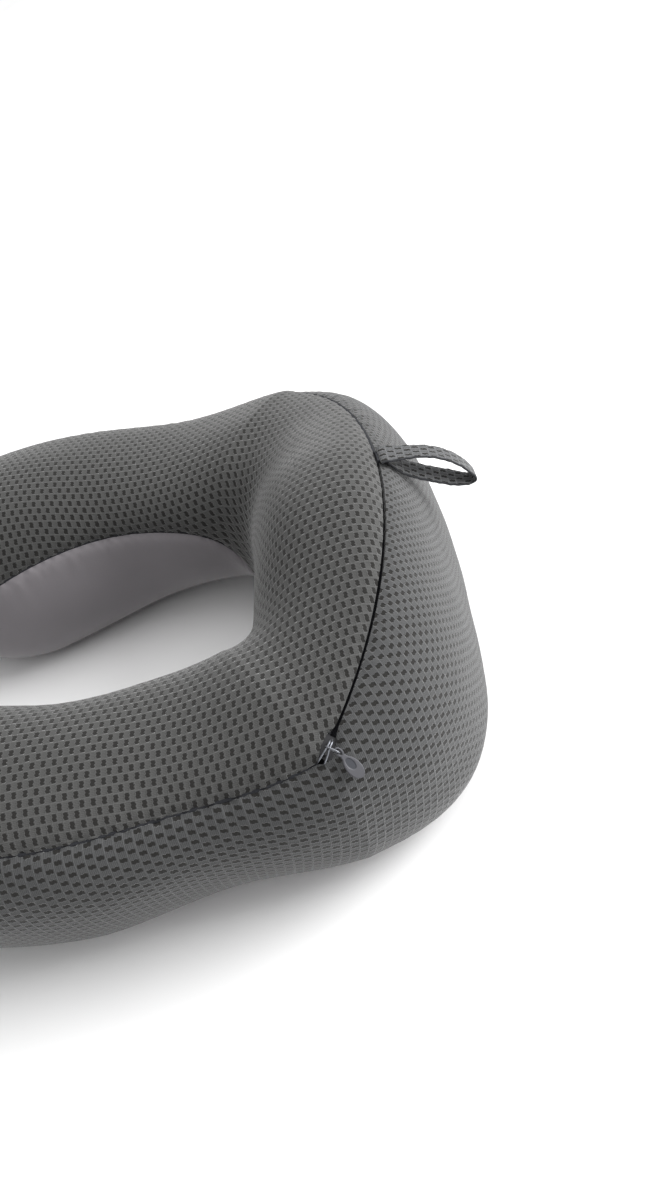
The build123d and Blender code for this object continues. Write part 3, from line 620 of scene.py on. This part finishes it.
# ------------------------------------------------------------------ hang loop
lo_o, lo_y, lo_n, lo_t = arc_frame(PHI_LOOP)
lo_o = lo_o + 1.9 * lo_y + np.array([0, SHIFT_Y, 0])
lp = math.radians(PHI_LOOP)
L_OUT = np.array([math.sin(lp), math.cos(lp), 0])
L_TAN = np.array([math.cos(lp), -math.sin(lp), 0])
L_UP = np.array([0, 0, 1.0])
PATH = np.array([(-0.9, 0.9), (0.2, 1.35), (1.95, 1.1), (4.4, 0.25), (7.6, -0.7), (13.6, -2.3), (19.5, -4.8), (25.1, -8.7), (29.7, -13.4), (33.0, -18.4), (34.55, -21.6),
                 (34.75, -22.9), (34.2, -23.9), (32.9, -24.3), (31.2, -23.9), (26.9, -21.8), (20.6, -17.9), (14.9, -14.0), (9.6, -10.0), (6.0, -6.6), (3.1, -3.4), (0.9, -0.9), (-0.7, 0.3)])


def catmull(p, n):
    p = np.vstack([2 * p[0] - p[1], p, 2 * p[-1] - p[-2]])
    out = []
    for i in range(1, len(p) - 2):
        for f in np.linspace(0, 1, n, endpoint=False):
            a, b, c, d = p[i - 1], p[i], p[i + 1], p[i + 2]
            out.append(0.5 * ((2 * b) + (c - a) * f + (2 * a - 5 * b + 4 * c - d) * f * f + (3 * b - a - 3 * c + d) * f ** 3))
    out.append(p[-2])
    return np.array(out)


def side_sign(frac):
    """the strip's own normal points up on the upper strand and down on the lower one"""
    return 1.0 if frac < 0.55 else -1.0


def ribbon(name, path, width, thick, mats, body):
    c = catmull(path, 12)
    s = np.concatenate([[0], np.cumsum(np.linalg.norm(np.diff(c, axis=0), axis=1))])
    n_s = int(s[-1] / 0.45)
    ss = np.linspace(0, s[-1], n_s)
    c = np.stack([np.interp(ss, s, c[:, i]) for i in range(2)], 1)
    tg = np.gradient(c, axis=0)
    tg /= np.linalg.norm(tg, axis=1)[:, None]
    nn = np.stack([-tg[:, 1], tg[:, 0]], 1)
    # cross-section: a folded strip with rounded, thicker edges
    k = 28
    prof = []
    for j in range(k):
        a = 2 * math.pi * j / k
        x = math.copysign(abs(math.cos(a)) ** 0.42, math.cos(a)) * width / 2
        y = math.copysign(abs(math.sin(a)) ** 0.75, math.sin(a)) * thick / 2
        y *= 0.80 + 0.34 * (abs(x) / (width / 2)) ** 3
        prof.append((x, y))
    prof = np.array(prof)
    P, UV = [], []
    for i in range(n_s):
        frac = ss[i] / ss[-1]
        # the strip spreads on the upper strand where it is sewn in and gathers on the lower one
        low = min(max((frac - 0.52) / 0.12, 0.0), 1.0)
        tw = -0.08 * math.exp(-(ss[i] / 9) ** 2) - 0.22 * low * low * (3 - 2 * low) + 0.40 * math.exp(-((ss[-1] - ss[i]) / 8) ** 2)
        wn = 1 + 0.20 * math.exp(-(ss[i] / 9) ** 2) - 0.22 * math.exp(-((ss[-1] - ss[i]) / 5) ** 2)
        pinch = 1 - 0.14 * math.exp(-((frac - 0.52) / 0.05) ** 2)
        wav = 0.10 * math.sin(ss[i] * 0.9) + 0.08 * math.sin(ss[i] * 2.3 + 1)
        for j in range(k):
            x, y = prof[j]
            x = x * wn * pinch + 0.12 * math.sin(ss[i] * 1.5 + 2 * (x > 0)) * (abs(x) > width * 0.4)
            p2 = c[i] + nn[i] * (y + wav * (x / width) * 1.2)
            dx, dn = x * math.cos(tw), x * math.sin(tw)
            P.append(lo_o + L_OUT * (p2[0] + nn[i][0] * dn * side_sign(frac)) + L_UP * (p2[1] + nn[i][1] * dn * side_sign(frac)) + L_TAN * dx)
            UV.append((x + (0.0 if y > 0 else 1.7), ss[i]))
    P = np.array(P)
    F, MI = [], []
    for i in range(n_s - 1):
        for j in range(k):
            j2 = (j + 1) % k
            F.append([i * k + j, i * k + j2, (i + 1) * k + j2, (i + 1) * k + j])
            xm = (prof[j][0] + prof[j2][0]) / 2
            MI.append(1 if abs(xm) > width * 0.462 else 0)
    F += [list(range(k))[::-1], [(n_s - 1) * k + j for j in range(k)]]
    MI += [1, 1]
    ob = make_mesh(name, P, F, UV)
    for m_ in mats:
        ob.data.materials.append(m_)
    ob.data.polygons.foreach_set("material_index", MI)
    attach(ob, body)
    return ob


loop = ribbon("hang_loop_strip", PATH, 9.0, 1.35, [M_LOOP_LIT, M_EDGE], "loop")
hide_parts("hang_loop")

# ------------------------------------------------------------------ slider crown, bail and tab
def frame_pt(x, y, z):
    return SO_ + S_T * x + S_Y * y + S_N * z


SO_, S_Y, S_N, S_T = arc_frame(PHI_REST)
SO_ = SO_ + np.array([0, SHIFT_Y, 0])


def tube(name, pts, r, mat, body, closed=False, k=12, squash=1.0):
    """round wire through a list of points"""
    pts = np.asarray(pts, float)
    n = len(pts)
    P = []
    prev = None
    for i in range(n):
        a, b = (pts[(i - 1) % n], pts[(i + 1) % n]) if closed else (pts[max(i - 1, 0)], pts[min(i + 1, n - 1)])
        t = (b - a) / np.linalg.norm(b - a)
        if prev is None:
            prev = np.cross(t, S_T if abs(t @ S_T) < 0.9 else S_N)
        u = prev - (prev @ t) * t
        u /= np.linalg.norm(u)
        v = np.cross(t, u)
        prev = u
        rad = r if closed else r * min(1.0, 0.45 + 0.55 * min(i, n - 1 - i) / 2.0)
        for j in range(k):
            c = 2 * math.pi * j / k
            P.append(pts[i] + rad * (math.cos(c) * u + math.sin(c) * v * squash))
    F = []
    for i in range(n if closed else n - 1):
        for j in range(k):
            i2 = (i + 1) % n
            F.append([i * k + j, i * k + (j + 1) % k, i2 * k + (j + 1) % k, i2 * k + j])
    if not closed:
        F += [list(range(k))[::-1], [(n - 1) * k + j for j in range(k)]]
    ob = make_mesh(name, P, F)
    ob.data.materials.append(mat)
    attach(ob, body)
    return ob


rail = [(5.1, 1.1, -2.2), (5.1, 1.1, -1.3), (4.9, 1.08, 0.0), (3.9, 1.0, 1.4), (2.0, 0.75, 2.35), (0.8, 0.58, 2.62), (-0.6, 0.46, 2.66), (-1.8, 0.40, 2.5),
        (-2.7, 0.30, 1.9), (-3.2, 0.0, 1.2)]
rail3 = rail[:-1] + [rail[-1]] + [(x, -y, z) for x, y, z in reversed(rail[:-1])]
rp = []
rr_ = np.array(rail3, float)
ext = np.vstack([2 * rr_[0] - rr_[1], rr_, 2 * rr_[-1] - rr_[-2]])
for i in range(1, len(ext) - 2):
    for f in np.linspace(0, 1, 6, endpoint=False):
        a_, b_, c_, d_ = ext[i - 1], ext[i], ext[i + 1], ext[i + 2]
        rp.append(0.5 * ((2 * b_) + (c_ - a_) * f + (2 * a_ - 5 * b_ + 4 * c_ - d_) * f * f + (3 * b_ - a_ - 3 * c_ + d_) * f ** 3))
rp.append(rr_[-1])
# raised rails along the crown, in the light metal that paints the edges' highlight
crown = tube("slider_crown_rails", [frame_pt(*q) for q in rp], 0.30, M_RAIL_HIGHLIGHT, "slider")

BL, BR = 3.0, 1.12
loop_pts = []
for j in range(16):
    c = math.pi / 2 + math.pi * j / 15
    loop_pts.append((0.0, BR * math.cos(c), 2.3 + BR * math.sin(c)))
for f in (0.33, 0.66):
    loop_pts.append((0.0, BL * f, 2.3 - BR))
for j in range(16):
    c = -math.pi / 2 + math.pi * j / 15
    loop_pts.append((0.0, BL + BR * math.cos(c), 2.3 + BR * math.sin(c)))
for f in (0.66, 0.33):
    loop_pts.append((0.0, BL * f, 2.3 + BR))
bail = tube("pull_bail_wire", [frame_pt(*q) for q in loop_pts], 0.33, M_BAIL, "bail", closed=True)
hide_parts("pull_bail")

TILT, YAW = math.radians(-6), math.radians(20)
tY = S_Y * math.cos(TILT) + S_N * math.sin(TILT)
tN = -S_Y * math.sin(TILT) + S_N * math.cos(TILT)
tO = SO_ + S_Y * (BL + (0.72 + 1.52) / 2 + 0.22) + S_N * 2.3
tX = S_T * math.cos(YAW) - tY * math.sin(YAW)
tL = np.cross(tN, tX)
TAB_L = 10.9
tab_y = np.concatenate([[1.0, 1.12], np.linspace(1.3, 10.4, 60), TAB_L - 0.5 * np.cos(np.linspace(0.2, math.pi / 2, 9)) ** 2 * 0.9])
hy = np.array([0.9, 1.3, 1.9, 2.6, 3.5, 4.5, 5.6, 6.9, 8.1, 9.1, 9.9, 10.45, 10.8, 10.9])
hw = np.array([0.95, 0.98, 1.08, 1.45, 1.98, 2.40, 2.62, 2.70, 2.58, 2.28, 1.82, 1.30, 0.62, 0.10])
cols = np.concatenate([-1 + np.array([0, .02, .05, .09, .14, .2]), np.linspace(-0.72, 0.72, 25), 1 - np.array([.2, .14, .09, .05, .02, 0])])
tp, ti = [], []
nk = len(cols)
for y in tab_y:
    h = float(np.interp(y, hy, hw))
    for sgn in (1, -1):
        for c in (cols if sgn > 0 else cols[::-1]):
            x = c * h
            edge_d = min((1 - abs(c)) * h, max(TAB_L + 0.05 - y, 0.0))
            th_ = 0.40 * math.sqrt(max(1 - (1 - min(edge_d / 0.34, 1)) ** 2, 0.0)) + 0.02
            if sgn > 0:
                e_ = math.hypot(x / 1.35, (y - 4.9) / 2.3)
                th_ -= 0.20 * min(max((1.06 - e_) / 0.12, 0), 1)
            tp.append(tO + tX * x + tL * y + tN * (sgn * th_))
tp = np.array(tp)
F, MI = [], []
m2 = 2 * nk
for i in range(len(tab_y) - 1):
    for j in range(m2):
        F.append([i * m2 + j, i * m2 + (j + 1) % m2, (i + 1) * m2 + (j + 1) % m2, (i + 1) * m2 + j])
        yy = (tab_y[i] + tab_y[i + 1]) / 2
        inside_ = j < nk - 1 and math.hypot((cols[j] + cols[j + 1]) / 2 * np.interp(yy, hy, hw) / 1.35, (yy - 4.9) / 2.3) < 1.0
        MI.append(1 if inside_ else 0)
F += [list(range(m2))[::-1], [(len(tab_y) - 1) * m2 + j for j in range(m2)]]
MI += [0, 0]
tab = make_mesh("pull_tab_blade", tp, F)
tab.data.materials.append(M_TAB)
tab.data.materials.append(M_TABIN)
tab.data.polygons.foreach_set("material_index", MI)
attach(tab, "tab")
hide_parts("pull_tab")
eye = tube("pull_tab_eye", [tO + tX * 0.92 * math.cos(c) + tL * (-0.55 + 1.65 * math.sin(c)) for c in np.linspace(0, 2 * math.pi, 41)[:-1]], 0.38, M_TAB, "tab", closed=True)

# ------------------------------------------------------------------ CAD nodes that stay in view
for node, mat in (("zip_tape_upper", M_TAPE), ("zip_tape_lower", M_TAPE), ("zip_coil_upper", M_COIL), ("zip_coil_lower", M_COIL),
                  ("zip_bottom_stop", M_STOP), ("zip_top_stop_upper", M_STOP), ("zip_top_stop_lower", M_STOP),
                  ("slider_body", M_SLIDER), ("inner_liner", M_LINER), ("foam_core", M_FOAM), ("loop_tail", M_DARK)):
    ob = frame["nodes"][node]
    ob.data.materials.clear()
    ob.data.materials.append(mat)

# ------------------------------------------------------------------ floor, light, camera
s = 14.0
floor = make_mesh("floor", np.array([(-s, -s, 0), (s, -s, 0), (s, s, 0), (-s, s, 0)]) / MM, [[0, 1, 2, 3]], smooth=False)
floor.data.materials.append(simple("floor_paper", (0.93, 0.93, 0.93), 0.9, bump=0.000001, scale=60, var=0.006))

world_ = bpy.data.worlds.new("studio")
bpy.context.scene.world = world_
bpy.context.scene.view_settings.view_transform = "Standard"
world_.use_nodes = True
bg = world_.node_tree.nodes["Background"]
bg.inputs[0].default_value = (1, 1, 1, 1)
bg.inputs[1].default_value = 0.54


def area(name, loc, target, size, power, color=(1, 1, 1)):
    li = bpy.data.lights.new(name, "AREA")
    li.shape = "RECTANGLE"
    li.size, li.size_y = size
    li.energy = power
    li.color = color
    ob = bpy.data.objects.new(name, li)
    bpy.context.scene.collection.objects.link(ob)
    from mathutils import Vector
    d = Vector(target) - Vector(loc)
    ob.location = loc
    ob.rotation_euler = d.to_track_quat("-Z", "Y").to_euler()
    return ob


area("key", (-0.05, 1.25, 0.70), (0, 0.05, 0.05), (0.9, 0.7), 25)
area("fill", (0.9, 0.1, 1.3), (0, 0, 0.05), (1.2, 1.2), 3)
sun = bpy.data.lights.new("overhead", "SUN")
sun.energy = 1.55
sun.angle = math.radians(75)
sun_ob = bpy.data.objects.new("overhead", sun)
sun_ob.location = (-0.6, 0.5, 1.6)
sun_ob.rotation_euler = (math.radians(-14), math.radians(-16), 0)
bpy.context.scene.collection.objects.link(sun_ob)

from mathutils import Matrix
AZ, EL, DIST, TX, TY, TZ, ROLL, FPX = -10.824409, 42.108128, 444.38977, 8.986225, 88.253398, 50.0, -21.90277, 1039.960
a, e, ro = math.radians(AZ), math.radians(EL), math.radians(ROLL)
back = np.array([math.cos(e) * math.cos(a), -math.cos(e) * math.sin(a), math.sin(e)])
C = np.array([TX, TY, TZ]) + DIST * back
fwd = -back
right = np.cross(fwd, [0, 0, 1.0])
right /= np.linalg.norm(right)
up = np.cross(right, fwd)
right, up = math.cos(ro) * right + math.sin(ro) * up, -math.sin(ro) * right + math.cos(ro) * up
C = (C + np.array([0, SHIFT_Y, 0])) * MM
cam = bpy.data.cameras.new("camera")
cam.sensor_fit = "VERTICAL"
cam.sensor_height = 36.0
cam.lens = FPX * 36.0 / 1200.0
cam.clip_start = 0.01
cam.dof.use_dof = False
co = bpy.data.objects.new("camera", cam)
bpy.context.scene.collection.objects.link(co)
m = Matrix.Identity(4)
for i in range(3):
    m[i][0], m[i][1], m[i][2], m[i][3] = right[i], up[i], back[i], C[i]
co.matrix_world = m
bpy.context.scene.camera = co
